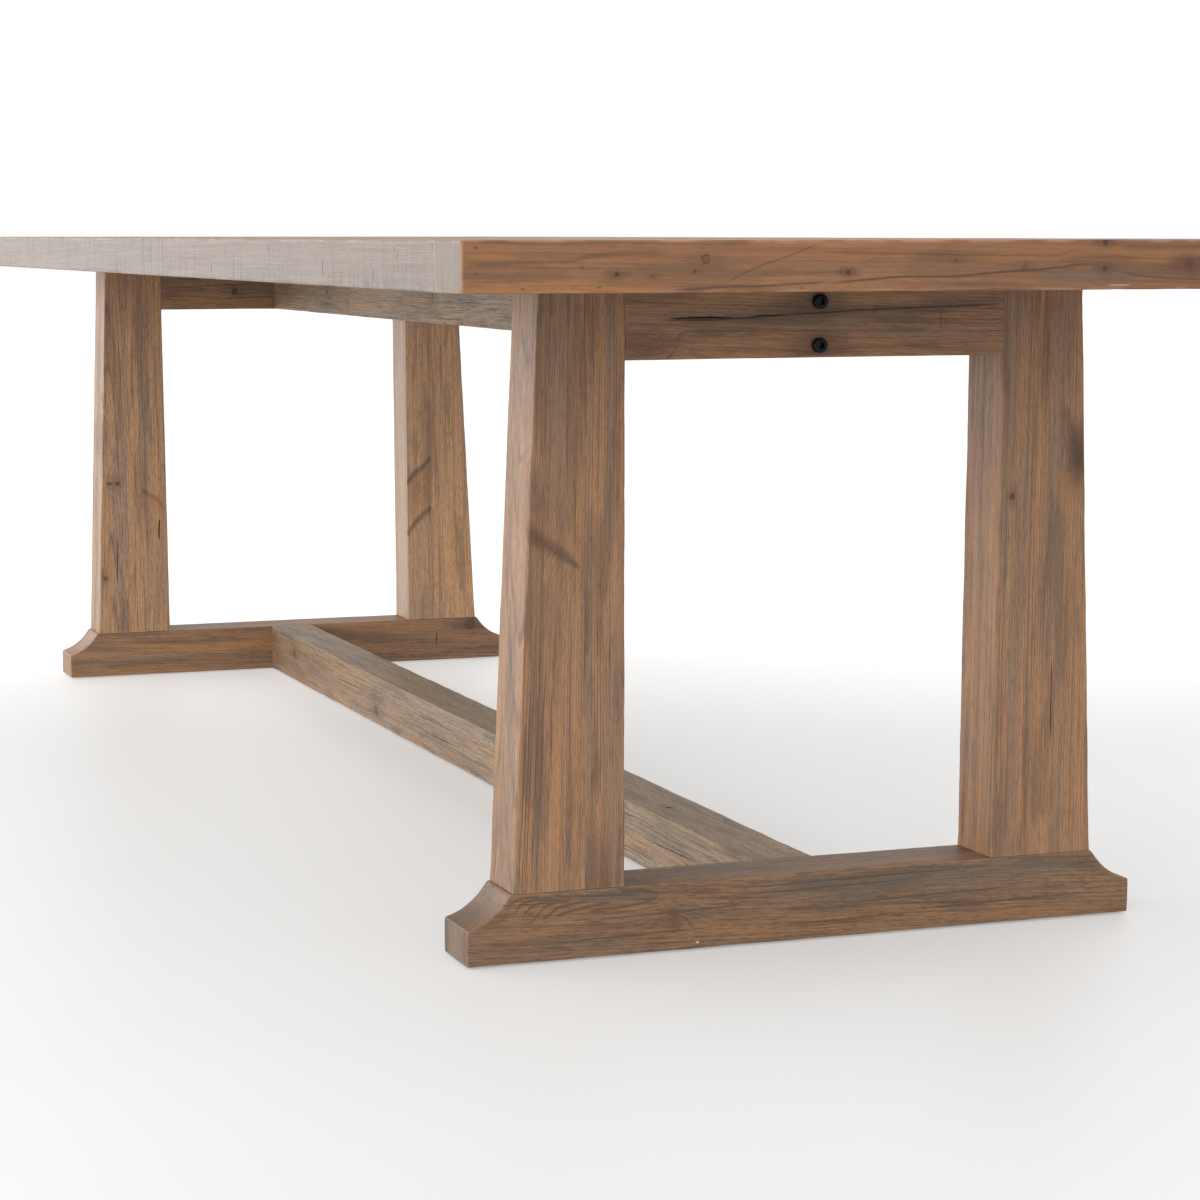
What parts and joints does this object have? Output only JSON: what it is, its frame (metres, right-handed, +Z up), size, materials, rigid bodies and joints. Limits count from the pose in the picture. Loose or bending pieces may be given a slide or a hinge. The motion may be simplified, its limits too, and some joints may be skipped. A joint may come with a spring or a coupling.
{
  "type": "dining table",
  "caption": "Rectangular trestle dining table: breadboard-ended plank top on twin post trestles with coved feet, joined by an upper beam and a low stretcher.",
  "frame": {"origin": "on the floor, under the middle of the table top", "axes": "+X along the table towards its right end, +Y across it towards its back, +Z up"},
  "size_m": [3.048, 1.016, 0.762],
  "materials": {
    "top_boards": "matte, aged and waxed",
    "breadboard_ends": "matte, aged and waxed",
    "splines": "plain planed",
    "trestles": "matte, aged and waxed",
    "beam_and_stretcher": "matte, rough sawn",
    "black_bolts": "black oxide, satin",
    "plain_steel": "zinc plated",
    "pads": "dark felt"
  },
  "bodies": {
    "root": {"top_plank_1": "top_boards", "top_plank_2": "top_boards", "top_plank_3": "top_boards", "top_plank_4": "top_boards", "top_plank_5": "top_boards", "top_plank_6": "top_boards", "top_plank_7": "top_boards", "top_spline_1": "splines", "top_spline_2": "splines", "top_spline_3": "splines", "top_spline_4": "splines", "top_spline_5": "splines", "top_spline_6": "splines", "right_breadboard_end": "breadboard_ends", "left_breadboard_end": "breadboard_ends", "right_foot": "trestles", "left_foot": "trestles", "right_front_post_inner_stave": "trestles", "right_front_post_outer_stave": "trestles", "right_back_post_inner_stave": "trestles", "right_back_post_outer_stave": "trestles", "left_front_post_inner_stave": "trestles", "left_front_post_outer_stave": "trestles", "left_back_post_inner_stave": "trestles", "left_back_post_outer_stave": "trestles", "right_rail": "trestles", "left_rail": "trestles", "upper_beam": "beam_and_stretcher", "lower_stretcher": "beam_and_stretcher", "beam_bolts": "black_bolts", "beam_barrel_nuts": "plain_steel", "top_screws": "plain_steel", "stretcher_screws": "plain_steel", "foot_pads": "pads"}
  },
  "joints": []
}
